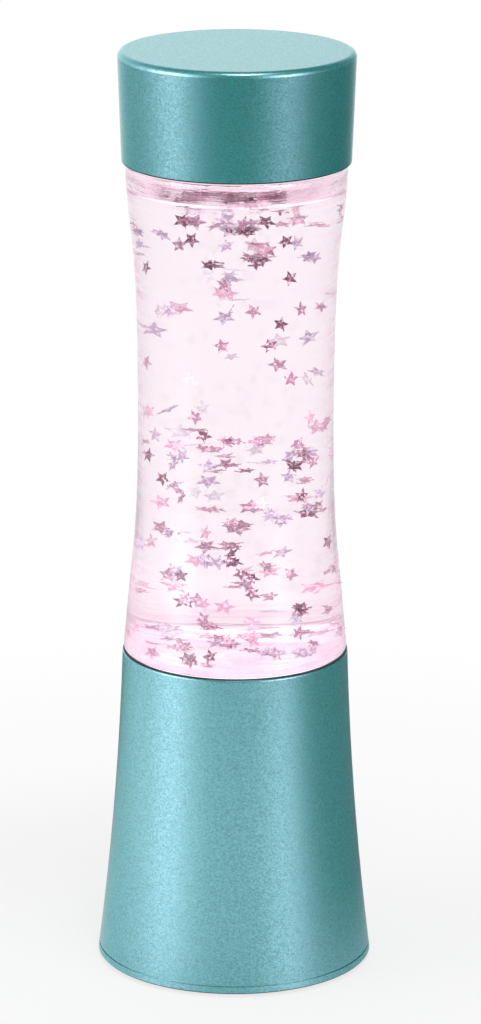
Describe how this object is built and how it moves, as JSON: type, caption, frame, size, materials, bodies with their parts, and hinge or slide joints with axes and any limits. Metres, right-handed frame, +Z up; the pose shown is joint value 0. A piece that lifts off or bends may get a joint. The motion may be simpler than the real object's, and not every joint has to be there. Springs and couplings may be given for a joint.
{
  "type": "glitter lamp",
  "caption": "Small battery glitter lamp: waisted clear bottle of pink liquid with floating stars between a teal cap and a flared teal base that holds lights, cells and a switch.",
  "frame": {"origin": "middle of the surface that the lamp stands on", "axes": "+Z up along the bottle's axis, the switch towards +Y, the door's screw towards -Y"},
  "size_m": [0.0564, 0.0564, 0.19],
  "materials": {
    "teal_paint": "satin metallic teal paint with fine flake",
    "clear_plastic": "clear, polished",
    "pink_liquid": "clear liquid, faintly pink",
    "plum_glitter": "metallised film, dark plum",
    "mauve_glitter": "metallised film, mauve",
    "silver_glitter": "holographic film, silver lilac",
    "pink_glitter": "metallised film, dusty pink",
    "white_glitter": "pearl film, white",
    "frosted_plastic": "frosted",
    "stopper_plastic": "moulded, natural white",
    "seal_rubber": "matt",
    "inner_plastic": "moulded, white",
    "floor_plastic": "moulded, dark teal",
    "foot_rubber": "matt",
    "zinc_screw": "zinc plated",
    "contact_metal": "nickel plated",
    "spring_metal": "nickel plated wire",
    "cell_can": "plain sleeve",
    "circuit_board": "green board",
    "board_component": "moulded black",
    "light_dome": "clear dome, lit",
    "switch_plastic": "moulded black",
    "wire_cover": "red sleeve"
  },
  "bodies": {
    "root": {"base_shell": "teal_paint", "diffuser_window": "frosted_plastic", "bottle": "clear_plastic", "bottle_stopper": "stopper_plastic", "stopper_seal": "seal_rubber", "liquid": "pink_liquid", "stars_plum": "plum_glitter", "stars_mauve": "mauve_glitter", "stars_silver": "silver_glitter", "stars_pink": "pink_glitter", "stars_white": "white_glitter", "cap_shell": "teal_paint", "cap_insert": "inner_plastic", "led_board": "circuit_board", "leds": "light_dome", "board_parts": "board_component", "board_screws": "zinc_screw", "battery_box": "inner_plastic", "box_screws": "zinc_screw", "battery_cells": "cell_can", "roof_contacts": "contact_metal", "roof_spring": "spring_metal", "side_strip": "contact_metal", "base_plate": "floor_plastic", "plate_screws": "zinc_screw", "rubber_feet": "foot_rubber", "switch_body": "switch_plastic", "lead_wires": "wire_cover"},
    "battery_door": {"battery_door": "floor_plastic", "door_contacts": "contact_metal", "door_springs": "spring_metal"},
    "door_screw": {"door_screw": "zinc_screw"},
    "switch": {"switch_slider": "switch_plastic"}
  },
  "joints": [
    {"name": "door_lift", "type": "slide", "parent": "root", "child": "battery_door", "axis": [0, 0, -1], "range_m": [0, 0.03]},
    {"name": "door_screw_turn", "type": "hinge", "parent": "battery_door", "child": "door_screw", "pos_m": [0, -0.0176, 0.001], "axis": [0, 0, -1], "continuous": true},
    {"name": "switch_slide", "type": "slide", "parent": "root", "child": "switch", "axis": [1, 0, 0], "range_m": [0, 0.003]}
  ]
}
